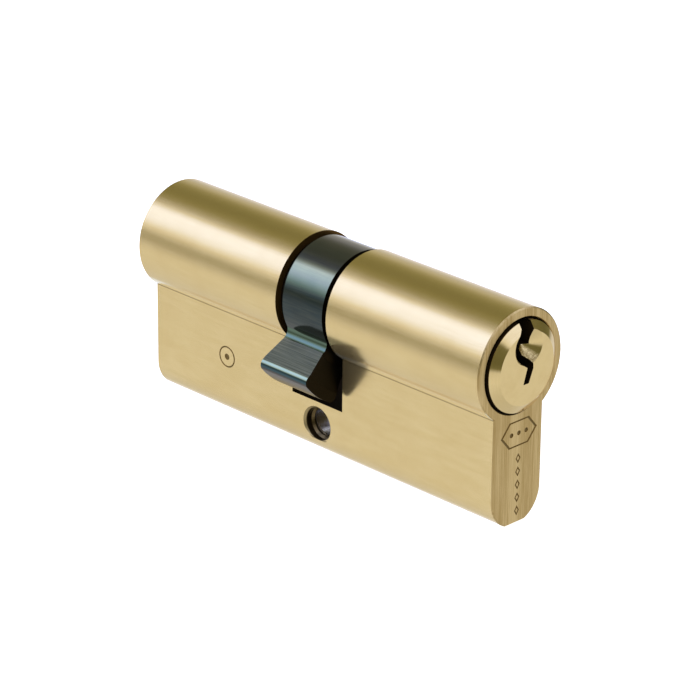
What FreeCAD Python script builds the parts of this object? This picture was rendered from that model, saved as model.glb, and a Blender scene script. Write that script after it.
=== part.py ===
"""Double euro profile lock cylinder: housing, two keyed plugs, cam, clutch, pin stacks.

Frame: origin on the barrel axis in the plane of the cam and the fixing screw.
+X runs along the barrel to the outer key side, +Z is up, the flange hangs towards -Z.
All lengths are in millimetres.
"""
import FreeCAD, Part
import math
import os

V = FreeCAD.Vector
X_AXIS = V(1, 0, 0)
Z_AXIS = V(0, 0, 1)

# housing: standard euro profile, 35 mm each side of the fixing screw
HALF_LENGTH = 35.0
BARREL_R = 8.5
FLANGE_HALF = 5.0
FOOT_Z = -19.5
FLAT_Z = -24.1
EDGE = 0.2
SLOT_HALF = 5.2
SLOT_FLOOR_Z = -15.2

# fixing screw hole, M5
SCREW_Z = -18.85
SCREW_R = 2.5
SCREW_MOUTH_R = 2.85

# plug bore and plug
BORE_R = 6.54
PLUG_R = 6.5
HEAD_BORE_R = 7.12
HEAD_BORE_EDGE = 0.1
HEAD_BORE_DEPTH = 2.0
COLLAR_R = 7.07
COLLAR_OUT = 34.1
HEAD_R = 6.8
HEAD_EDGE_X = 35.4
HEAD_FACE_X = 36.3
HEAD_FACE_R = 5.44
PLUG_END_X = 1.6

# key entry: round pocket and warded keyway, (y, z) seen from the outer side
POCKET_Y = 0.27
POCKET_Z = 3.2
POCKET_R = 2.8
POCKET_HALF_ANGLE = 59.0
KEYWAY = (
    (-0.95, 7.60), (-0.95, 6.00), (-1.55, 5.30), (-2.22, 4.30), (-2.38, 3.25),
    (-2.08, 1.95), (-1.22, 0.93), (0.06, 0.06), (-0.68, -2.33), (0.43, -2.33),
    (1.28, -0.30), (1.24, 0.42), (0.80, 1.00), (-0.29, 1.84), (-0.55, 2.70),
    (-0.05, 3.05), (1.33, 3.05), (1.36, 7.60),
)

# retaining clip and its groove
CLIP_X0 = 4.2
CLIP_X1 = 5.1
CLIP_GAP = 0.03
CLIP_R = 7.2
CLIP_MOUTH_HALF = 2.4
GROOVE_R = 5.7

# cam
CAM_HALF = 4.05
CAM_R = 8.15
CAM_BORE_R = 6.54
NOSE_HALF = 4.7
NOSE_TIP_R = 15.0
NOSE_HALF_ANGLE = 15.1
NOSE_ANGLE = -129.9
NOSE_STEP_R = 9.7
NOSE_WIDE_R = 13.4
NECK_FILLET_R = 1.3
ROOT_FILLET_R = 7.0
TIP_FILLET_R = 1.0

# clutch
CLUTCH_R = 6.4
CLUTCH_X0 = -0.5
CLUTCH_DISC_X0 = 0.4
CLUTCH_DISC_X1 = 1.5
CLUTCH_X1 = 2.5
TONGUE_W = 3.0
TONGUE_GAP = 0.05
TONGUE_SLOT_DEPTH = 1.4
LUG_W = 2.6
LUG_R = 7.15
LUG_GAP = 0.05

# pin stacks, five on each side
STACKS = 5
STACK_X0 = 29.6
STACK_PITCH = 4.0
CHAMBER_R = 1.5
CHAMBER_TOP_Z = 0.45
PIN_R = 1.45
KEY_PIN_Z = -6.3
KEY_PIN_TIPS = (-1.9, -1.2, -1.6, -0.9, -1.4)
TIP_R = 0.35
DRIVER_TOP_Z = -6.56
DRIVER_LENGTHS = (5.2, 5.9, 5.5, 6.2, 5.7)
SPOOL_R = 1.15
SPRING_WIRE_R = 0.16
SPRING_R = 1.08
SPRING_TURNS = 9
CAP_TOP_Z = -22.5
CAP_FOOT_Z = -24.0

# plain assembly marks
MARK_DEPTH = 0.12
MARK_LINE = 0.24
FLANK_MARK = (-19.3, -14.1)
FACE_MARK = (0.15, -10.2)


def cylinder_x(radius, x0, x1, y=0.0, z=0.0):
    return Part.makeCylinder(radius, x1 - x0, V(x0, y, z), X_AXIS)


def cylinder_z(radius, z0, z1, x, y=0.0):
    return Part.makeCylinder(radius, z1 - z0, V(x, y, z0), Z_AXIS)


def cone_x(r0, r1, x0, x1):
    return Part.makeCone(r0, r1, x1 - x0, V(x0, 0, 0), X_AXIS)


def block(x0, x1, y0, y1, z0, z1):
    return Part.makeBox(x1 - x0, y1 - y0, z1 - z0, V(x0, y0, z0))


def outline(points, x0, x1):
    """A solid with the given (y, z) outline, from x0 to x1."""
    corners = [V(x0, y, z) for y, z in points]
    wire = Part.makePolygon(corners + corners[:1])
    return Part.Face(wire).extrude(V(x1 - x0, 0, 0))


def turned_x(profile):
    """A solid of revolution about X from (x, r) points."""
    corners = [V(x, 0, r) for x, r in profile]
    wire = Part.makePolygon(corners + corners[:1])
    return Part.Face(wire).revolve(V(0, 0, 0), X_AXIS, 360)


def half_turn(shape):
    """The matching part of the inner side."""
    other = shape.copy()
    other.rotate(V(0, 0, 0), Z_AXIS, 180)
    return other


def stack_x(index):
    return STACK_X0 - STACK_PITCH * index


# ---------------------------------------------------------------- housing


def profile_prism():
    """The plain euro profile over the full length, with its end edges broken."""
    barrel = cylinder_x(BARREL_R, -HALF_LENGTH, HALF_LENGTH)
    flange = block(-HALF_LENGTH, HALF_LENGTH, -FLANGE_HALF, FLANGE_HALF, FOOT_Z, 0)
    foot = cylinder_x(FLANGE_HALF, -HALF_LENGTH, HALF_LENGTH, 0, FOOT_Z)
    below = block(-HALF_LENGTH - 1, HALF_LENGTH + 1, -9, 9, -30, FLAT_Z)
    solid = barrel.fuse([flange, foot]).cut(below).removeSplitter()
    ends = []
    for edge in solid.Edges:
        box = edge.BoundBox
        if box.XLength < 0.01 and abs(abs(box.XMin) - HALF_LENGTH) < 0.01:
            ends.append(edge)
    return solid.makeChamfer(EDGE, ends)


def screw_hole():
    reach = FLANGE_HALF + 1
    hole = Part.makeCylinder(SCREW_R, 2 * reach, V(0, -reach, SCREW_Z), V(0, 1, 0))
    step = SCREW_MOUTH_R - SCREW_R
    wide = SCREW_MOUTH_R + 1
    mouths = []
    for side in (-1, 1):
        base = V(0, side * (FLANGE_HALF + 1), SCREW_Z)
        mouths.append(Part.makeCone(wide, SCREW_R, step + 1, base, V(0, -side, 0)))
    return hole.fuse(mouths)


def plug_room():
    """Everything cut away for the outer plug: bore, head recess and its broken edge."""
    floor = HALF_LENGTH - HEAD_BORE_DEPTH
    bore = cylinder_x(BORE_R, SLOT_HALF - 1, floor + 0.5)
    recess = cylinder_x(HEAD_BORE_R, floor, HALF_LENGTH + 1)
    edge_x = HALF_LENGTH - HEAD_BORE_EDGE
    mouth = cone_x(HEAD_BORE_R, HEAD_BORE_R + HEAD_BORE_EDGE + 1, edge_x, HALF_LENGTH + 1)
    return bore.fuse([recess, mouth])


def chambers():
    solids = []
    for index in range(STACKS):
        solids.append(cylinder_z(CHAMBER_R, FLAT_Z - 1, -BORE_R + 0.6, stack_x(index)))
    return solids


def ring_groove(radius, centre, normal):
    outer = Part.makeCylinder(radius, 2 * MARK_DEPTH, centre, normal)
    inner = Part.makeCylinder(radius - MARK_LINE, 2 * MARK_DEPTH, centre, normal)
    return outer.cut(inner)


def flank_mark():
    x, z = FLANK_MARK
    inward = V(0, 1, 0)
    centre = V(x, -FLANGE_HALF - MARK_DEPTH, z)
    dot = Part.makeCylinder(0.5, 2 * MARK_DEPTH, centre, inward)
    return [ring_groove(1.7, centre, inward), dot]


def face_outline(centre, corners, scale):
    """Shallow cutter on the outer end face, with its corners drawn in by scale."""
    y, z = centre
    points = [(y + dy * scale, z + dz * scale) for dy, dz in corners]
    return outline(points, HALF_LENGTH - MARK_DEPTH, HALF_LENGTH + MARK_DEPTH)


def face_mark():
    y, z = FACE_MARK
    six = ((-3.7, 0), (-2.0, 2.0), (2.0, 2.0), (3.7, 0), (2.0, -2.0), (-2.0, -2.0))
    rhomb = ((-0.5, 0), (0, 0.8), (0.5, 0), (0, -0.8))
    cuts = [face_outline(FACE_MARK, six, 1.0).cut(face_outline(FACE_MARK, six, 0.88))]
    for step in (-1, 0, 1):
        cuts.append(cylinder_x(0.36, HALF_LENGTH - MARK_DEPTH, HALF_LENGTH + 1, y + 1.5 * step, z))
    for step in range(5):
        centre = (y, z - 3.9 - 2.02 * step)
        cuts.append(face_outline(centre, rhomb, 1.0).cut(face_outline(centre, rhomb, 0.5)))
    return cuts


def make_housing():
    body = profile_prism()
    slot = block(-SLOT_HALF, SLOT_HALF, -12, 12, SLOT_FLOOR_Z, 12)
    cuts = [slot, screw_hole(), plug_room(), half_turn(plug_room())]
    cuts += chambers()
    cuts += [half_turn(chamber) for chamber in chambers()]
    cuts += flank_mark()
    cuts += face_mark()
    for cut in cuts:
        body = body.cut(cut)
    return body


# ---------------------------------------------------------------- plug


def key_entry():
    """The drilled, cone-shaped mouth that leads the key into the keyway."""
    spread = math.tan(math.radians(POCKET_HALF_ANGLE))
    depth = POCKET_R / spread
    base = V(HEAD_FACE_X + 1, POCKET_Y, POCKET_Z)
    return Part.makeCone(POCKET_R + spread, 0, depth + 1, base, V(-1, 0, 0))


def make_plug():
    floor = HALF_LENGTH - HEAD_BORE_DEPTH + 0.05
    blank = turned_x((
        (PLUG_END_X, 0), (PLUG_END_X, PLUG_R - 0.2), (PLUG_END_X + 0.2, PLUG_R),
        (CLIP_X0 - CLIP_GAP, PLUG_R), (CLIP_X0 - CLIP_GAP, GROOVE_R),
        (CLIP_X1 + CLIP_GAP, GROOVE_R), (CLIP_X1 + CLIP_GAP, PLUG_R),
        (floor, PLUG_R), (floor, COLLAR_R), (COLLAR_OUT, COLLAR_R), (COLLAR_OUT, HEAD_R),
        (HEAD_EDGE_X, HEAD_R), (HEAD_FACE_X, HEAD_FACE_R), (HEAD_FACE_X, 0),
    ))
    keyway = outline(KEYWAY, PLUG_END_X - 1, HEAD_FACE_X + 1)
    pocket = key_entry()
    slot_half = TONGUE_W / 2 + TONGUE_GAP
    tongue_slot = block(PLUG_END_X - 1, PLUG_END_X + TONGUE_SLOT_DEPTH,
                        -slot_half, slot_half, -9, 9)
    tongue_slot.rotate(V(0, 0, 0), X_AXIS, NOSE_ANGLE)
    cuts = [keyway, pocket, tongue_slot]
    for index in range(STACKS):
        cuts.append(cylinder_z(CHAMBER_R, -9, CHAMBER_TOP_Z, stack_x(index)))
    for cut in cuts:
        blank = blank.cut(cut)
    return blank


def make_clip():
    ring = cylinder_x(CLIP_R, CLIP_X0, CLIP_X1)
    ring = ring.cut(cylinder_x(GROOVE_R + CLIP_GAP, CLIP_X0 - 1, CLIP_X1 + 1))
    half = CLIP_MOUTH_HALF
    return ring.cut(block(CLIP_X0 - 1, CLIP_X1 + 1, -half, half, -9, 0))


# ---------------------------------------------------------------- cam and clutch


def along_nose(shape):
    """Turn a shape drawn along +Y so that it lies along the cam nose."""
    shape.rotate(V(0, 0, 0), X_AXIS, NOSE_ANGLE)
    return shape


def polar(radius, angle):
    return (radius * math.cos(angle), radius * math.sin(angle))


def neck_fillet(side, radius):
    """The concave corner between the ring and one flank of the nose."""
    reach = CAM_R + radius
    flank = side * math.radians(NOSE_HALF_ANGLE)
    lean = flank + side * math.asin(radius / reach)
    centre = polar(reach, lean)
    foot = polar(math.sqrt(reach ** 2 - radius ** 2), flank)
    corners = (polar(7.0, flank), polar(7.0, lean), centre, foot)
    web = outline(corners, -NOSE_HALF - 1, NOSE_HALF + 1)
    return web.cut(cylinder_x(radius, -NOSE_HALF - 2, NOSE_HALF + 2, *centre))


def nose_block():
    """A sector along +Y that widens from the ring's width to the tip's."""
    half = math.radians(NOSE_HALF_ANGLE)
    near = 7.0
    far = NOSE_TIP_R + 2
    wedge = outline((polar(near, -half), polar(far, -half), polar(far, half), polar(near, half)),
                    -NOSE_HALF - 1, NOSE_HALF + 1)
    wedge = wedge.fuse([neck_fillet(-1, NECK_FILLET_R), neck_fillet(1, ROOT_FILLET_R)])
    round_body = turned_x((
        (-CAM_HALF, 0), (-CAM_HALF, NOSE_STEP_R), (-NOSE_HALF, NOSE_WIDE_R),
        (-NOSE_HALF, NOSE_TIP_R), (NOSE_HALF, NOSE_TIP_R), (NOSE_HALF, NOSE_WIDE_R),
        (CAM_HALF, NOSE_STEP_R), (CAM_HALF, 0),
    ))
    blank = wedge.common(round_body).removeSplitter()
    tips = []
    for edge in blank.Edges:
        box = edge.BoundBox
        if box.XLength > 1 and box.YLength < 0.01 and box.YMin > NOSE_WIDE_R:
            tips.append(edge)
    return blank.makeFillet(TIP_FILLET_R, tips)


def make_cam():
    ring = cylinder_x(CAM_R, -CAM_HALF, CAM_HALF)
    solid = ring.fuse(nose_block())
    solid = solid.cut(cylinder_x(CAM_BORE_R, -NOSE_HALF - 1, NOSE_HALF + 1))
    half = LUG_W / 2 + LUG_GAP
    reach = LUG_R + LUG_GAP
    for y0, y1 in ((4, reach), (-reach, -4)):
        solid = solid.cut(block(-CAM_HALF - 1, CAM_HALF + 1, y0, y1, -half, half))
    return along_nose(solid.removeSplitter())


def make_clutch():
    disc = cylinder_x(CLUTCH_R, CLUTCH_DISC_X0, CLUTCH_DISC_X1)
    bar = block(CLUTCH_X0, CLUTCH_X1, -9, 9, -TONGUE_W / 2, TONGUE_W / 2)
    bar = bar.common(cylinder_x(CLUTCH_R - 0.1, CLUTCH_X0 - 1, CLUTCH_X1 + 1))
    bar.rotate(V(0, 0, 0), X_AXIS, 90)
    half = LUG_W / 2
    lugs = block(CLUTCH_DISC_X0, CLUTCH_DISC_X1, -LUG_R, LUG_R, -half, half)
    lugs = lugs.common(cylinder_x(LUG_R, CLUTCH_DISC_X0 - 1, CLUTCH_DISC_X1 + 1))
    return along_nose(disc.fuse([bar, lugs]).removeSplitter())


# ---------------------------------------------------------------- pin stacks


def make_key_pin(index):
    x = stack_x(index)
    tip = KEY_PIN_TIPS[index]
    shoulder = tip - (PIN_R - TIP_R)
    stem = cylinder_z(PIN_R, KEY_PIN_Z, shoulder, x)
    point = Part.makeCone(PIN_R, TIP_R, tip - shoulder, V(x, 0, shoulder), Z_AXIS)
    return stem.fuse(point).removeSplitter()


def make_driver_pin(index):
    x = stack_x(index)
    foot = DRIVER_TOP_Z - DRIVER_LENGTHS[index]
    pin = cylinder_z(PIN_R, foot, DRIVER_TOP_Z, x)
    if index % 2:
        waist_top = DRIVER_TOP_Z - 0.9
        waist_foot = foot + 0.9
        waist = cylinder_z(PIN_R + 1, waist_foot, waist_top, x)
        waist = waist.cut(cylinder_z(SPOOL_R, waist_foot - 1, waist_top + 1, x))
        pin = pin.cut(waist)
    return pin


def make_spring(index):
    """Coil between the cap and the foot of the driver pin."""
    x = stack_x(index)
    foot = CAP_TOP_Z + SPRING_WIRE_R + 0.01
    top = DRIVER_TOP_Z - DRIVER_LENGTHS[index] - SPRING_WIRE_R - 0.01
    height = top - foot
    coil = Part.makeHelix(height / SPRING_TURNS, height, SPRING_R)
    section = Part.makeCircle(SPRING_WIRE_R, V(SPRING_R, 0, 0), V(0, 1, 0))
    solid = Part.Wire(coil.Edges).makePipeShell([Part.Wire([section])], True, True)
    solid.translate(V(x, 0, foot))
    return solid


def make_cap(index):
    return cylinder_z(CHAMBER_R, CAP_FOOT_Z, CAP_TOP_Z, stack_x(index))


def save(shape, node):
    shape.exportStep("parts/%s.step" % node)


def save_pair(shape, name, tail=""):
    save(shape, name + "_outer" + tail)
    save(half_turn(shape), name + "_inner" + tail)


def main():
    os.makedirs("parts", exist_ok=True)
    save(make_housing(), "housing")
    save(make_cam(), "cam")
    save(make_clutch(), "clutch")
    save_pair(make_plug(), "plug")
    save_pair(make_clip(), "retaining_clip")
    makers = (
        ("key_pin", make_key_pin), ("driver_pin", make_driver_pin),
        ("pin_spring", make_spring), ("chamber_cap", make_cap),
    )
    for name, make in makers:
        for index in range(STACKS):
            save_pair(make(index), name, "_%d" % (index + 1))


main()
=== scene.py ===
"""Looks for the double euro profile lock cylinder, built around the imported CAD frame.

Lengths are metres in the row frame; material coordinates are worked in millimetres.
"""
import math

import bmesh
import bpy
from mathutils import Matrix, Vector


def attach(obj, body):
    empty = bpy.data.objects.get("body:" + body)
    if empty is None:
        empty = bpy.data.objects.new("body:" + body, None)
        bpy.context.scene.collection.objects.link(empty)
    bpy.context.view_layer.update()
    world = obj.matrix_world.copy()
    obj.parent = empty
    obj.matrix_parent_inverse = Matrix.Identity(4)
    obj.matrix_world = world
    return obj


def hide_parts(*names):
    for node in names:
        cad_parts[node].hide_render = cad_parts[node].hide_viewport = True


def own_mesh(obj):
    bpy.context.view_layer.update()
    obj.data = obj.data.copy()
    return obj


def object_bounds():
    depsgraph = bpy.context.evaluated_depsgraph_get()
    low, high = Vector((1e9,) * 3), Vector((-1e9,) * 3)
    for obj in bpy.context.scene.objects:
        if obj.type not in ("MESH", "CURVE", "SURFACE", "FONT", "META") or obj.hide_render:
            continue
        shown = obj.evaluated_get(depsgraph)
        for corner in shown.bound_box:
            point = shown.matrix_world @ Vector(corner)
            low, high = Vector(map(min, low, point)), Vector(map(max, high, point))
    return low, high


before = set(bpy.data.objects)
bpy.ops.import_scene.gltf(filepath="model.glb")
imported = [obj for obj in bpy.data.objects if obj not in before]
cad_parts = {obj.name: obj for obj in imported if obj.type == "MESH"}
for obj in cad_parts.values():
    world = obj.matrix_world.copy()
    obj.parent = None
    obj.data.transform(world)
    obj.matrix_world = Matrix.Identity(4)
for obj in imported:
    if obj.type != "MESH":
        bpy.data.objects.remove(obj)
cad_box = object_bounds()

MM = 0.001
SCREW_Z = -18.85

# camera: a long lens, looking down at the outer end (degrees and millimetres)
CAMERA_AZIMUTH = 45.118
CAMERA_ELEVATION = 23.111
CAMERA_ROLL = 0.596
CAMERA_DISTANCE = 492.636
CAMERA_RIGHT = 1.082
CAMERA_UP = -7.803
CAMERA_LENS = 174.97
SENSOR = 36.0

# studio surroundings: brightness round the object's long axis, by angle from straight
# ahead of the long flank (degrees, up is positive)
PEAK = 1.4
SIDE_BANDS = (
    (-180, 0.78), (-171, 0.96), (-162, 1.06), (-152, 1.12), (-132, 1.08), (-108, 0.67),
    (-60, 0.73), (-32, 0.77), (-21, 0.68), (-11, 0.49), (-2, 0.35), (3, 0.38), (9, 0.55),
    (19, 0.86), (29, 1.08), (39, 1.20), (59, 1.30), (66, 1.02), (70, 0.76), (79, 0.43),
    (89, 0.28), (99, 0.205), (109, 0.185), (119, 0.185), (129, 0.22), (139, 0.27), (149, 0.40),
    (159, 0.58), (169, 0.56), (180, 0.75),
)
# the same beyond the keyed end, by the height of the direction (-1 straight down)
END_BANDS = (
    (-1.00, 0.60), (-0.45, 0.80), (-0.24, 0.74), (-0.14, 0.18), (0.00, 0.15), (0.33, 0.18),
    (0.39, 0.90), (0.46, 1.02), (0.70, 1.00), (0.80, 0.60), (1.00, 0.40),
)
# light is warmer where the surroundings are dark and cooler where they are bright
DARK_TINT = (1.0, 0.98, 0.50)
BRIGHT_TINT = (1.0, 1.15, 1.90)


# ------------------------------------------------------------ node helpers


class Tree:
    """Short ways to add and join shader nodes."""

    def __init__(self, tree):
        self.tree = tree
        tree.nodes.clear()

    def put(self, socket, value):
        if isinstance(value, bpy.types.NodeSocket):
            self.tree.links.new(value, socket)
        elif value is not None:
            socket.default_value = value

    def node(self, kind, inputs=(), out=0, **settings):
        made = self.tree.nodes.new(kind)
        for name, value in settings.items():
            setattr(made, name, value)
        pairs = inputs.items() if isinstance(inputs, dict) else enumerate(inputs)
        for key, value in pairs:
            self.put(made.inputs[key], value)
        return made if out is None else made.outputs[out]

    def math(self, operation, *values, clamp=False):
        return self.node("ShaderNodeMath", values, operation=operation, use_clamp=clamp)

    def vector(self, *values):
        return self.node("ShaderNodeCombineXYZ", values)

    def step(self, value, low, high, to_low=0.0, to_high=1.0):
        """A smooth ramp of value from low to high."""
        return self.node("ShaderNodeMapRange", (value, low, high, to_low, to_high),
                         interpolation_type="SMOOTHSTEP")

    def mix(self, share, first, second):
        made = self.node("ShaderNodeMix", out=None, data_type="RGBA")
        self.put(made.inputs["Factor"], share)
        self.put(made.inputs[6], first)
        self.put(made.inputs[7], second)
        return made.outputs[2]

    def blend(self, share, first, second):
        made = self.node("ShaderNodeMix", out=None, data_type="FLOAT")
        self.put(made.inputs["Factor"], share)
        self.put(made.inputs[2], first)
        self.put(made.inputs[3], second)
        return made.outputs[0]

    def noise(self, vector, scale=1.0, detail=3.0, roughness=0.5):
        return self.node("ShaderNodeTexNoise", {
            "Vector": vector, "Scale": scale, "Detail": detail, "Roughness": roughness,
        })

    def ramp(self, value, stops):
        made = self.node("ShaderNodeValToRGB", (value,), out=None)
        elements = made.color_ramp.elements
        while len(elements) < len(stops):
            elements.new(0.5)
        for element, (place, level) in zip(elements, stops):
            element.position = place
            shade = level if isinstance(level, tuple) else (level, level, level)
            element.color = (*shade, 1.0)
        return made.outputs[0]


def place(tree):
    """Position in millimetres and outward normal, both in the object's own frame."""
    coords = tree.node("ShaderNodeTexCoord", out=None)
    position = tree.node("ShaderNodeVectorMath", (coords.outputs["Object"],),
                         operation="SCALE", out=None)
    position.inputs["Scale"].default_value = 1000.0
    xyz = tree.node("ShaderNodeSeparateXYZ", (position.outputs[0],), out=None)
    normal = tree.node("ShaderNodeSeparateXYZ", (coords.outputs["Normal"],), out=None)
    return xyz.outputs, normal.outputs


def material(name):
    made = bpy.data.materials.new(name)
    made.use_nodes = True
    return made, Tree(made.node_tree)


def surface(tree, color, roughness, bump, metallic=1.0):
    shader = tree.node("ShaderNodeBsdfPrincipled", out=None)
    tree.put(shader.inputs["Base Color"], color)
    tree.put(shader.inputs["Roughness"], roughness)
    tree.put(shader.inputs["Normal"], bump)
    tree.put(shader.inputs["Metallic"], metallic)
    tree.node("ShaderNodeOutputMaterial", (shader.outputs[0],), out=None)


def bumped(tree, height, distance_mm, strength=1.0):
    return tree.node("ShaderNodeBump", {
        "Strength": strength, "Distance": distance_mm * MM, "Height": height,
    })


def rgb(color):
    return (*color, 1.0)


def below(tree, value, limit):
    return tree.math("LESS_THAN", value, limit)


def above(tree, value, limit):
    return tree.math("GREATER_THAN", value, limit)


def between(tree, value, low, high):
    return both(tree, above(tree, value, low), below(tree, value, high))


def both(tree, *masks):
    """Where all of the masks hold."""
    share = masks[0]
    for mask in masks[1:]:
        share = tree.math("MULTIPLY", share, mask)
    return share


def either(tree, *masks):
    """Where any of the masks holds."""
    share = masks[0]
    for mask in masks[1:]:
        share = tree.math("MAXIMUM", share, mask)
    return share


def distance(tree, first, second, first_at=0.0, second_at=0.0):
    """Distance in a plane from a point given by two coordinates."""
    legs = []
    for value, at in ((first, first_at), (second, second_at)):
        leg = tree.math("SUBTRACT", value, at)
        legs.append(tree.math("MULTIPLY", leg, leg))
    return tree.math("SQRT", tree.math("ADD", *legs))


def arc_length(tree, y, z, radius):
    return tree.math("MULTIPLY", tree.math("ARCTAN2", y, z), radius)


# ------------------------------------------------------------ brass

BRASS = (0.835, 0.65, 0.318)
BRASS_PALE = (0.87, 0.685, 0.352)
BRASS_DEEP = (0.76, 0.57, 0.26)
# painted reflection: a yellower tone over the top of the barrel
BRASS_TOP_REFLECTION = (0.86, 0.65, 0.24)
BRASS_END = (0.53, 0.37, 0.145)
BRASS_END_LIGHT = (0.80, 0.61, 0.30)
# painted highlight: a pale band on the underside of the barrel, where it meets the flanks
BRASS_UNDER_HIGHLIGHT = (1.0, 0.92, 0.68)
# painted shade: darker brass on the recess wall round the plug head
BRASS_RECESS_SHADE = (0.60, 0.46, 0.20)
# dark of the engraved marks; the same colour paints a shade line along the barrel's root
MARK_DARK_AND_ROOT_SHADE = (0.22, 0.155, 0.06)
# painted shade in the cam slot: dark walls, the near wall darker still, a near-black floor
SLOT_WALL_SHADE = (0.17, 0.09, 0.018)
SLOT_SHADE = (0.055, 0.032, 0.010)
SLOT_FLOOR_SHADE = (0.020, 0.011, 0.003)
# painted shade in the bore and in the gaps round the plug heads
GAP_SHADE = (0.042, 0.026, 0.010)
# painted shade in the fixing hole and at its mouth, with a pale painted reflection on one side of
# its wall
SCREW_WALL_REFLECTION = (0.94, 0.94, 1.0)
SCREW_SHADE = (0.10, 0.07, 0.03)
SCREW_MOUTH_SHADE = (0.42, 0.33, 0.16)

# painted reflection: the top of the barrel is painted yellower where it reflects a dark band, round
# this angle from straight up and fading out between these two angles on either side of it (radians)
TOP_LEAN = 0.21
TOP_HALF_ANGLES = (0.44, 0.20)

# limits that pick out the housing's surfaces; a pair is where a soft mask starts and ends (mm)
BARREL_R = 8.5
END_START = 34.5
END_SURFACE = 34.95
FLANK_TOP = -6.87
FLANK_SURFACE = 4.95
MARK_FOOT = -17.0
MARK_INNER_X = 10
SLOT_SIDE = 5.3
SLOT_FLOOR_Z = (-15.4, -15.0)
BORE_REACH = 7.36
RECESS_START = 34.0
SCREW_REACH = 2.62
SCREW_DEEP = 4.7
MOUTH_REACH = 2.88
MOUTH_START = 4.6
BARREL_SURFACE = 8.40
BARREL_FOOT = (-4.9, -5.6)
FLANK_EDGE = 5.02
ROOT_EDGE = 4.98
ROOT_ABOVE = (-6.72, -6.82)
ROOT_BELOW = (-6.98, -6.90)
PALE_DEPTH = (3.0, 2.6)
PALE_SIDE = (0.1, -0.6)

# how far a normal turns towards an axis
STEEP = 0.8
FACING = 0.95


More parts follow.
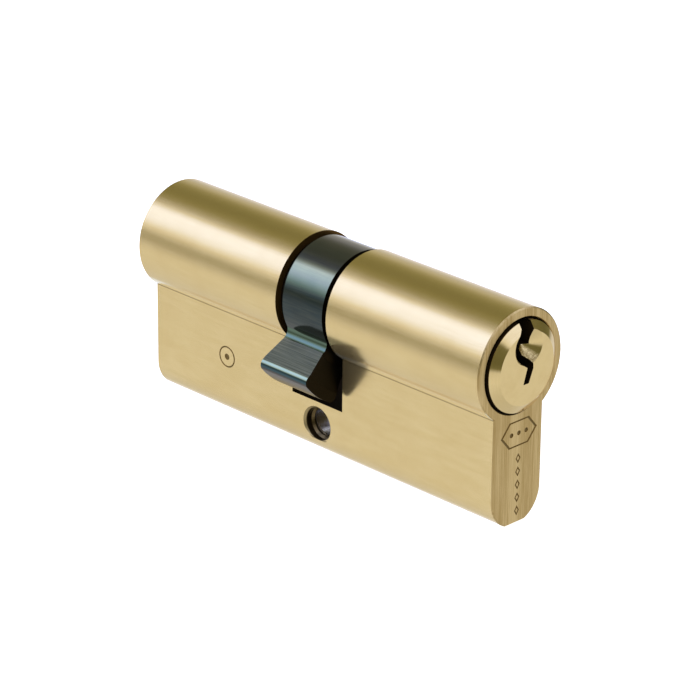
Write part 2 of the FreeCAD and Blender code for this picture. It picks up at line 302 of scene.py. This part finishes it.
def housing_brass():
    made, tree = material("brass_housing")
    (x, y, z), (nx, ny, nz) = place(tree)
    abs_x, abs_y = tree.math("ABSOLUTE", x), tree.math("ABSOLUTE", y)
    abs_nx, abs_ny = tree.math("ABSOLUTE", nx), tree.math("ABSOLUTE", ny)
    axis_r = distance(tree, y, z)
    screw_r = distance(tree, x, z, 0.0, SCREW_Z)
    is_end = both(tree, tree.step(abs_nx, 0.45, 0.60), above(tree, abs_x, END_START))
    is_flank = both(tree, tree.step(abs_ny, 0.97, 0.995), below(tree, z, FLANK_TOP))
    on_slot_wall = both(tree, below(tree, abs_x, SLOT_SIDE), above(tree, abs_nx, STEEP))
    on_near_wall = both(tree, on_slot_wall, above(tree, x, 0.0))
    on_slot_floor = both(tree, below(tree, abs_x, SLOT_SIDE), above(tree, nz, STEEP),
                         between(tree, z, *SLOT_FLOOR_Z))
    in_bore = both(tree, below(tree, axis_r, BORE_REACH), below(tree, abs_x, RECESS_START))
    in_recess = both(tree, below(tree, axis_r, BORE_REACH), above(tree, abs_x, RECESS_START),
                     below(tree, abs_nx, 0.3))
    in_screw = both(tree, below(tree, screw_r, SCREW_REACH), below(tree, abs_y, SCREW_DEEP))
    screw_reflection_side = both(tree, tree.step(abs_y, *PALE_DEPTH), tree.step(x, *PALE_SIDE))
    screw_mouth = both(tree, below(tree, screw_r, MOUTH_REACH), above(tree, abs_y, MOUTH_START),
                       below(tree, abs_ny, FACING))
    under_barrel_highlight = both(tree, tree.step(z, *BARREL_FOOT), above(tree, axis_r, BARREL_SURFACE),
                        above(tree, abs_y, FLANK_EDGE))
    root_shade_line = both(tree, tree.step(z, *ROOT_ABOVE), tree.step(z, *ROOT_BELOW),
                     above(tree, abs_y, ROOT_EDGE))
    end_mark = both(tree, above(tree, abs_nx, FACING), between(tree, abs_x, END_START, END_SURFACE))
    flank_mark = both(tree, is_flank, below(tree, abs_y, FLANK_SURFACE),
                      above(tree, z, MARK_FOOT), above(tree, abs_x, MARK_INNER_X))
    in_mark = either(tree, end_mark, flank_mark)

    around = arc_length(tree, y, z, BARREL_R)
    drawn = tree.noise(tree.vector(tree.math("MULTIPLY", x, 0.03), around, 0.0), 4.5, 4.0, 0.6)
    ground = tree.noise(tree.vector(tree.math("MULTIPLY", x, 0.05), z, y), 6.0, 4.0, 0.65)
    brushed = tree.noise(tree.vector(y, tree.math("MULTIPLY", z, 0.02), x), 5.0, 5.0, 0.8)
    broad = tree.noise(tree.vector(y, tree.math("MULTIPLY", z, 0.02), x), 0.9, 2.0, 0.5)
    cloud = tree.noise(tree.vector(x, y, z), 0.16, 3.0, 0.55)

    color = tree.mix(tree.step(drawn, 0.35, 0.65), rgb(BRASS), rgb(BRASS_PALE))
    color = tree.mix(tree.step(cloud, 0.30, 0.75, 0.0, 0.35), color, rgb(BRASS_DEEP))
    lean = tree.math("ABSOLUTE", tree.math("SUBTRACT", tree.math(
        "ARCTAN2", tree.math("MULTIPLY", y, -1.0), z), TOP_LEAN))
    # painted reflection: a yellower tone over the top of the barrel, leaning towards -y
    color = tree.mix(tree.step(lean, *TOP_HALF_ANGLES), color, rgb(BRASS_TOP_REFLECTION))
    streak = tree.step(tree.blend(0.35, brushed, broad), 0.40, 0.60)
    color = tree.mix(is_end, color, tree.mix(streak, rgb(BRASS_END), rgb(BRASS_END_LIGHT)))
    # painted highlight: a pale band along the underside of the barrel where it meets the flanks
    color = tree.mix(under_barrel_highlight, color, rgb(BRASS_UNDER_HIGHLIGHT))
    # painted shade: a dark line along the crease where the barrel meets the flange
    color = tree.mix(root_shade_line, color, rgb(MARK_DARK_AND_ROOT_SHADE))
    color = tree.mix(in_mark, color, rgb(MARK_DARK_AND_ROOT_SHADE))
    # painted shade on the slot walls and floor
    color = tree.mix(on_slot_wall, color, rgb(SLOT_WALL_SHADE))
    color = tree.mix(on_near_wall, color, rgb(SLOT_SHADE))
    color = tree.mix(on_slot_floor, color, rgb(SLOT_FLOOR_SHADE))
    # painted shade in the bore and on the recess wall
    color = tree.mix(in_bore, color, rgb(GAP_SHADE))
    color = tree.mix(in_recess, color, rgb(BRASS_RECESS_SHADE))
    # painted shade at the hole's mouth and inside it, with a pale painted reflection on one side of
    # its wall
    color = tree.mix(screw_mouth, color, rgb(SCREW_MOUTH_SHADE))
    color = tree.mix(in_screw, color, tree.mix(screw_reflection_side, rgb(SCREW_SHADE), rgb(SCREW_WALL_REFLECTION)))

    rough = tree.blend(is_flank, tree.step(drawn, 0.3, 0.7, 0.19, 0.25),
                       tree.step(ground, 0.3, 0.7, 0.18, 0.22))
    rough = tree.blend(is_end, rough, tree.step(brushed, 0.3, 0.7, 0.32, 0.46))
    cut = either(tree, in_mark, on_slot_wall, on_slot_floor, in_bore, in_recess, screw_mouth)
    rough = tree.blend(cut, rough, 0.45)
    rough = tree.blend(either(tree, on_slot_floor, on_near_wall, in_bore), rough, 0.85)
    rough = tree.blend(in_screw, rough, tree.blend(screw_reflection_side, 0.5, 0.25))

    height = tree.blend(is_flank, tree.math("MULTIPLY", drawn, 0.25),
                        tree.math("MULTIPLY", ground, 0.05))
    height = tree.blend(is_end, height, tree.math("MULTIPLY", brushed, 3.0))
    metal = tree.blend(either(tree, is_end, in_screw, on_slot_floor, on_near_wall), 0.93, 1.0)
    surface(tree, color, rough, bumped(tree, height, 0.004), metal)
    return made


POCKET_DARK = (0.42, 0.30, 0.12)

# the key pocket's axis (y, z) and the limits that pick out the plug's surfaces (mm)
POCKET = (0.27, 3.2)
POCKET_REACH = 2.81
PLUG_FACE = 36.29
BEVEL_R = 5.42
BEVEL_START = 35.3
PLUG_INSIDE_R = 6.45
PLUG_INSIDE_X = 12.0
HEAD_SIDE_R = 6.7
HEAD_SIDE_X = 35.38
LIT_START = 34.98


def plug_brass():
    made, tree = material("brass_plug")
    (x, y, z), (nx, _, _) = place(tree)
    abs_x, abs_nx = tree.math("ABSOLUTE", x), tree.math("ABSOLUTE", nx)
    radius = distance(tree, y, z)
    near_y = tree.math("MULTIPLY", y, tree.math("SIGN", x))
    pocket_r = distance(tree, near_y, z, *POCKET)
    in_pocket = both(tree, below(tree, pocket_r, POCKET_REACH), above(tree, abs_nx, 0.5),
                     between(tree, abs_x, RECESS_START, PLUG_FACE))
    is_bevel = both(tree, above(tree, radius, BEVEL_R), above(tree, abs_x, BEVEL_START))
    inside = both(tree, below(tree, abs_nx, 0.5), above(tree, abs_x, PLUG_INSIDE_X),
                  below(tree, radius, PLUG_INSIDE_R))
    in_gap = both(tree, above(tree, radius, HEAD_SIDE_R), below(tree, abs_x, HEAD_SIDE_X))
    lit_side = both(tree, in_gap, above(tree, abs_x, LIT_START), tree.step(near_y, 0.6, 2.6))

    turned = tree.noise(tree.vector(radius, 0.0, x), 7.0, 3.0, 0.6)
    milled = tree.noise(tree.vector(y, z, tree.math("MULTIPLY", x, 2.0)), 2.6, 4.0, 0.75)
    cloud = tree.noise(tree.vector(x, y, z), 0.5, 3.0, 0.55)
    lower_left = tree.step(tree.math("ADD", near_y, z), 4.6, 1.6)

    color = tree.mix(tree.step(turned, 0.3, 0.7), rgb(BRASS), rgb(BRASS_PALE))
    color = tree.mix(tree.step(cloud, 0.35, 0.75, 0.0, 0.4), color, rgb(BRASS_DEEP))
    rasped = tree.mix(tree.step(milled, 0.42, 0.56), rgb(POCKET_DARK), rgb(BRASS_PALE))
    color = tree.mix(in_pocket, color, tree.mix(lower_left, rgb(BRASS), rasped))
    # painted shade inside the plug and on its head's side in the gap
    color = tree.mix(either(tree, inside, in_gap), color, rgb(GAP_SHADE))
    # painted light: one side of the plug head's side in the gap is lit, in the deep brass tone
    color = tree.mix(lit_side, color, rgb(BRASS_DEEP))

    rough = tree.step(turned, 0.3, 0.7, 0.20, 0.27)
    rough = tree.blend(is_bevel, rough, 0.10)
    rough = tree.blend(in_pocket, rough, tree.blend(lower_left, 0.16, 0.30))
    rough = tree.blend(either(tree, inside, in_gap), rough, 0.8)
    rough = tree.blend(lit_side, rough, 0.3)
    height = tree.math("MULTIPLY", turned, tree.blend(is_bevel, 0.25, 0.0))
    height = tree.blend(both(tree, in_pocket, lower_left), height,
                        tree.math("MULTIPLY", milled, 20.0))
    surface(tree, color, rough, bumped(tree, height, 0.004))
    return made


def small_brass(name, color, color_2, rough_low, rough_high, scale):
    """Turned brass or nickel silver for pins, caps and thread."""
    made, tree = material(name)
    (x, y, z), _ = place(tree)
    rings = tree.noise(tree.vector(tree.math("MULTIPLY", x, 0.2),
                                   tree.math("MULTIPLY", y, 0.2), z), scale, 3.0, 0.6)
    spots = tree.noise(tree.vector(x, y, z), 1.3, 3.0, 0.5)
    shade = tree.mix(tree.step(spots, 0.35, 0.7), rgb(color), rgb(color_2))
    rough = tree.step(rings, 0.3, 0.7, rough_low, rough_high)
    surface(tree, shade, rough, bumped(tree, rings, 0.003))
    return made


# ------------------------------------------------------------ steel

# oxide tone and painted reflection bands round the ring, by angle from straight up towards the nose
# (degrees)
OXIDE_AND_REFLECTION_TONES = (
    (-180, (0.20, 0.19, 0.15)), (-15, (0.23, 0.19, 0.12)), (0, (0.155, 0.14, 0.105)),
    (10, (0.19, 0.19, 0.22)), (18, (0.20, 0.215, 0.27)), (30, (0.135, 0.145, 0.18)),
    (36, (0.085, 0.092, 0.10)), (40, (0.14, 0.155, 0.12)), (45, (0.36, 0.37, 0.21)),
    (50, (0.33, 0.36, 0.215)), (55, (0.28, 0.31, 0.20)), (60, (0.20, 0.255, 0.17)),
    (65, (0.12, 0.185, 0.155)), (70, (0.068, 0.098, 0.105)), (76, (0.052, 0.070, 0.074)),
    (100, (0.050, 0.065, 0.070)), (180, (0.20, 0.19, 0.15)),
)
# painted highlights: a lighter teal on the nose's neck fillets, and a light line along its tip
# edges
NECK_TEAL_HIGHLIGHT = (0.135, 0.20, 0.145)
EDGE_HIGHLIGHT = (0.36, 0.44, 0.29)
MILLED = (0.12, 0.135, 0.10)
MILLED_LIGHT = (0.24, 0.25, 0.185)
# painted reflection: a teal band past the tip edges, also used for random oxide patches; painted
# shade on the tip
TEAL_OXIDE_AND_TIP_REFLECTION = (0.065, 0.118, 0.138)
TIP_LILAC_SHADE = (0.098, 0.086, 0.079)
# painted shade on the side faces of the nose and the ring, in the gaps beside the slot walls
STEEL_SIDE_SHADE = (0.018, 0.014, 0.0085)
RING_SIDE_SHADE = (0.055, 0.036, 0.012)

# the cam's shape: which way its nose points (y, z), and radii where its surfaces change (mm)
NOSE_DIRECTION = (-0.6414, -0.7672)
NECK_R = (8.17, 8.22)
FLANK_R = (9.35, 9.6)
TIP_EDGE_R = 13.0
TIP_R = (14.82, 14.96)


def blued_steel():
    """Oxidised steel: smooth round the ring, milled across the flanks of the nose."""
    made, tree = material("steel_blued")
    (x, y, z), (nx, ny, nz) = place(tree)
    radius = distance(tree, y, z)
    turn = tree.math("ARCTAN2", tree.math("MULTIPLY", y, -1.0), z)
    around = tree.math("MULTIPLY", turn, radius)
    share = tree.math("ADD", tree.math("DIVIDE", turn, 2 * math.pi), 0.5)
    ahead = tree.math("ADD", *[tree.math("MULTIPLY", part, weight)
                               for part, weight in zip((ny, nz), NOSE_DIRECTION)])
    on_side = above(tree, tree.math("ABSOLUTE", nx), STEEP)
    on_neck = tree.step(radius, *NECK_R)
    on_flank = both(tree, tree.step(radius, *FLANK_R), tree.step(ahead, -0.21, -0.25))
    on_edge = both(tree, above(tree, radius, TIP_EDGE_R), tree.step(ahead, -0.25, -0.21))
    past_edge = both(tree, above(tree, radius, TIP_EDGE_R), tree.step(ahead, 0.20, 0.34))
    on_tip = tree.step(radius, *TIP_R)

    lines = tree.noise(tree.vector(tree.math("MULTIPLY", x, 0.012), radius, 0.0), 4.6, 4.0, 0.75)
    fine = tree.noise(tree.vector(tree.math("MULTIPLY", x, 0.04), around, 0.0), 5.0, 3.0, 0.6)
    cloud = tree.noise(tree.vector(x, y, z), 0.35, 3.0, 0.5)

    # painted reflection: the ring's tone by angle carries light and dark bands over the oxide's
    # colour
    color = tree.ramp(share, [((d + 180) / 360, tone) for d, tone in OXIDE_AND_REFLECTION_TONES])
    color = tree.mix(tree.step(fine, 0.35, 0.65, 0.0, 0.16), color, rgb(MILLED_LIGHT))
    # painted highlight: a lighter teal on the nose's neck fillets
    color = tree.mix(on_neck, color, rgb(NECK_TEAL_HIGHLIGHT))
    milled = tree.mix(tree.step(lines, 0.36, 0.62), rgb(MILLED), rgb(MILLED_LIGHT))
    color = tree.mix(on_flank, color, milled)
    # painted highlight along the tip edges
    color = tree.mix(on_edge, color, rgb(EDGE_HIGHLIGHT))
    # painted reflection: a teal band past the tip edges
    color = tree.mix(past_edge, color, rgb(TEAL_OXIDE_AND_TIP_REFLECTION))
    # painted shade: the tip's arc darker, in a lilac tone
    color = tree.mix(on_tip, color, rgb(TIP_LILAC_SHADE))
    color = tree.mix(tree.step(cloud, 0.35, 0.75, 0.0, 0.12), color, rgb(TEAL_OXIDE_AND_TIP_REFLECTION))
    # painted shade on the cam's side faces, in the gaps beside the slot walls
    color = tree.mix(on_side, color, tree.mix(on_neck, rgb(RING_SIDE_SHADE), rgb(STEEL_SIDE_SHADE)))

    rough = tree.blend(on_flank, tree.step(fine, 0.3, 0.7, 0.13, 0.17),
                       tree.step(lines, 0.3, 0.7, 0.34, 0.46))
    rough = tree.blend(on_tip, rough, 0.3)
    rough = tree.blend(on_side, rough, 0.45)
    height = tree.blend(on_flank, tree.math("MULTIPLY", fine, 0.12),
                        tree.math("MULTIPLY", lines, 3.5))
    height = tree.blend(on_side, height, cloud)
    surface(tree, color, rough, bumped(tree, height, 0.006))
    return made


def plain_steel(name, color, color_2, rough_low, rough_high):
    made, tree = material(name)
    (x, y, z), _ = place(tree)
    lines = tree.noise(tree.vector(tree.math("MULTIPLY", x, 3.0), y, z), 2.5, 4.0, 0.6)
    spots = tree.noise(tree.vector(x, y, z), 1.1, 3.0, 0.5)
    shade = tree.mix(tree.step(spots, 0.35, 0.7), rgb(color), rgb(color_2))
    rough = tree.step(lines, 0.3, 0.7, rough_low, rough_high)
    surface(tree, shade, rough, bumped(tree, lines, 0.003))
    return made


def paint(names, made):
    for name in names:
        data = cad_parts[name].data
        data.materials.clear()
        data.materials.append(made)


def named(start):
    return [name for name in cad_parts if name.startswith(start)]


# the thread ridges are a very dark brass: painted shade inside the fixing hole
thread_brass_shade = small_brass(
    "brass_thread_shade", (0.16, 0.115, 0.05), (0.09, 0.065, 0.03), 0.25, 0.35, 3.0)
paint(["housing"], housing_brass())
paint(named("plug_"), plug_brass())
paint(["cam"], blued_steel())
paint(["clutch"], plain_steel("steel_bright", (0.55, 0.55, 0.56), (0.42, 0.42, 0.44), 0.22, 0.35))
paint(named("retaining_clip_"),
      plain_steel("steel_dark", (0.13, 0.12, 0.105), (0.08, 0.075, 0.07), 0.38, 0.5))
paint(named("pin_spring_"),
      plain_steel("steel_spring", (0.60, 0.60, 0.61), (0.48, 0.48, 0.50), 0.18, 0.28))
paint(named("key_pin_"),
      small_brass("nickel_pins", (0.72, 0.69, 0.60), (0.60, 0.57, 0.48), 0.2, 0.3, 4.0))
paint(named("driver_pin_"),
      small_brass("brass_pins", (0.80, 0.63, 0.32), (0.68, 0.50, 0.24), 0.2, 0.3, 4.0))
paint(named("chamber_cap_"),
      small_brass("brass_caps", (0.78, 0.60, 0.30), (0.66, 0.49, 0.23), 0.28, 0.4, 4.0))


# ------------------------------------------------------------ thread ridges

THREAD_ROOT = 2.52
THREAD_CREST = 2.15
THREAD_PITCH = 0.8
THREAD_START = 4.5
THREAD_TURNS = 2
THREAD_STEPS = 48
RIDGE_HALF = 0.47 * THREAD_PITCH
CREST_HALF = 0.06
END_WIDTH = 0.2


def thread_ridge(side, points, faces):
    """A helical M5 ridge running in from one mouth of the fixing screw hole."""
    first = len(points)
    count = THREAD_TURNS * THREAD_STEPS
    section = ((-RIDGE_HALF, 0.0), (-CREST_HALF, 1.0), (CREST_HALF, 1.0), (RIDGE_HALF, 0.0))
    for index in range(count + 1):
        angle = 2 * math.pi * index / THREAD_STEPS
        along = THREAD_START - RIDGE_HALF - THREAD_PITCH * index / THREAD_STEPS
        height = min(1.0, 2 * index / THREAD_STEPS, 2 * (count - index) / THREAD_STEPS)
        for offset, rise in section:
            r = THREAD_ROOT - (THREAD_ROOT - THREAD_CREST) * rise * height
            points.append((MM * side * r * math.cos(angle),
                           MM * side * (along + offset * max(height, END_WIDTH)),
                           MM * (SCREW_Z + r * math.sin(angle))))
    for index in range(count):
        a, b = first + 4 * index, first + 4 * (index + 1)
        for corner in range(4):
            after = (corner + 1) % 4
            faces.append((a + corner, b + corner, b + after, a + after))
    last = first + 4 * count
    faces.append((first, first + 1, first + 2, first + 3))
    faces.append((last + 3, last + 2, last + 1, last))


def screw_thread():
    points, faces = [], []
    for side in (-1, 1):
        thread_ridge(side, points, faces)
    mesh = bpy.data.meshes.new("screw_thread")
    mesh.from_pydata(points, [], faces)
    mesh.validate()
    mesh.update()
    shape = bmesh.new()
    shape.from_mesh(mesh)
    bmesh.ops.recalc_face_normals(shape, faces=shape.faces)
    shape.to_mesh(mesh)
    shape.free()
    mesh.materials.append(thread_brass_shade)
    piece = bpy.data.objects.new("screw_thread", mesh)
    bpy.context.scene.collection.objects.link(piece)
    return piece


thread = screw_thread()
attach(thread, "housing")


# ------------------------------------------------------------ coil springs


def coil_spring(node):
    """A copy of a pin spring, fixed to the housing in place of the CAD spring."""
    where = node[len("pin_spring_"):]
    piece = bpy.data.objects.new("coil_spring_" + where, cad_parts[node].data.copy())
    bpy.context.scene.collection.objects.link(piece)
    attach(piece, "housing")
    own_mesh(piece)
    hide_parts(node)


for spring_node in named("pin_spring_"):
    coil_spring(spring_node)


# ------------------------------------------------------------ studio


def studio_world():
    world = bpy.data.worlds.new("studio")
    bpy.context.scene.world = world
    world.use_nodes = True
    tree = Tree(world.node_tree)
    coords = tree.node("ShaderNodeTexCoord", out=None)
    xyz = tree.node("ShaderNodeSeparateXYZ", (coords.outputs["Generated"],), out=None)
    x, y, z = xyz.outputs
    angle = tree.math("ARCTAN2", z, tree.math("MULTIPLY", y, -1.0))
    turn = tree.math("ADD", tree.math("DIVIDE", angle, 2 * math.pi), 0.5)
    side = tree.ramp(turn, [((d + 180) / 360, level / PEAK) for d, level in SIDE_BANDS])
    height = tree.math("ADD", tree.math("MULTIPLY", z, 0.5), 0.5)
    end = tree.ramp(height, [((h + 1) / 2, level / PEAK) for h, level in END_BANDS])
    edge = tree.step(y, 0.2, 0.5, 0.05, -0.45)
    bands = tree.mix(tree.step(tree.math("SUBTRACT", x, edge), -0.1, 0.1), side, end)
    share = tree.node("ShaderNodeRGBToBW", (bands,))
    tint = tree.mix(tree.step(share, 0.10, 0.38), rgb(DARK_TINT), (1, 1, 1, 1))
    tint = tree.mix(tree.step(share, 0.59, 0.88), tint, rgb(BRIGHT_TINT))
    color = tree.node("ShaderNodeMix", out=None, data_type="RGBA", blend_type="MULTIPLY")
    for socket, value in (("Factor", 1.0), (6, bands), (7, tint)):
        tree.put(color.inputs[socket], value)
    lit = tree.node("ShaderNodeBackground", {"Color": color.outputs[2], "Strength": PEAK})
    seen = tree.node("ShaderNodeBackground", {"Color": (1, 1, 1, 1), "Strength": 1.0})
    ray = tree.node("ShaderNodeLightPath", out="Is Camera Ray")
    shown = tree.node("ShaderNodeMixShader", (ray, lit, seen))
    tree.node("ShaderNodeOutputWorld", (shown,), out=None)


FLOOR_SIZE = 6.0
FLOOR_GAP = 0.0002


def floor():
    """A plain pale table top, lit so that it stays an even white."""
    foot = cad_box[0][2]
    bpy.ops.mesh.primitive_plane_add(size=FLOOR_SIZE, location=(0, 0, foot - FLOOR_GAP))
    plane = bpy.context.object
    plane.name = "studio_floor"
    made, tree = material("pale_floor")
    (x, y, _), _ = place(tree)
    grain = tree.noise(tree.vector(x, y, 0.0), 0.02, 3.0, 0.5)
    shader = tree.node("ShaderNodeBsdfPrincipled", out=None)
    tree.put(shader.inputs["Base Color"],
             tree.mix(grain, (0.90, 0.90, 0.90, 1), (0.93, 0.93, 0.93, 1)))
    shader.inputs["Roughness"].default_value = 0.8
    shader.inputs["Emission Color"].default_value = (1, 1, 1, 1)
    shader.inputs["Emission Strength"].default_value = 0.85
    tree.node("ShaderNodeOutputMaterial", (shader.outputs[0],), out=None)
    plane.data.materials.append(made)
    plane.visible_glossy = False


def camera():
    az, el, roll = (math.radians(v) for v in (CAMERA_AZIMUTH, CAMERA_ELEVATION, CAMERA_ROLL))
    back = Vector((math.sin(az) * math.cos(el), -math.cos(az) * math.cos(el), math.sin(el)))
    right = Vector((0, 0, 1)).cross(back).normalized()
    up = back.cross(right)
    turned_right = math.cos(roll) * right + math.sin(roll) * up
    turned_up = math.cos(roll) * up - math.sin(roll) * right
    where = back * CAMERA_DISTANCE + turned_right * CAMERA_RIGHT + turned_up * CAMERA_UP
    data = bpy.data.cameras.new("camera")
    data.lens = CAMERA_LENS
    data.sensor_width = SENSOR
    data.clip_start = 0.05
    data.clip_end = 20.0
    made = bpy.data.objects.new("camera", data)
    matrix = Matrix((turned_right, turned_up, back)).transposed().to_4x4()
    matrix.translation = where * MM
    made.matrix_world = matrix
    bpy.context.scene.collection.objects.link(made)
    bpy.context.scene.camera = made


def area_light(name, where, size, power):
    data = bpy.data.lights.new(name, "AREA")
    data.size = size
    data.energy = power
    made = bpy.data.objects.new(name, data)
    made.location = where
    made.rotation_mode = "QUATERNION"
    made.rotation_quaternion = (-Vector(where)).to_track_quat("-Z", "Y")
    made.visible_camera = False
    made.visible_glossy = False
    bpy.context.scene.collection.objects.link(made)


studio_world()
floor()
camera()
area_light("key_light", (-0.5, -0.7, 0.55), size=0.5, power=1.0)
bpy.context.scene.view_settings.view_transform = "Standard"
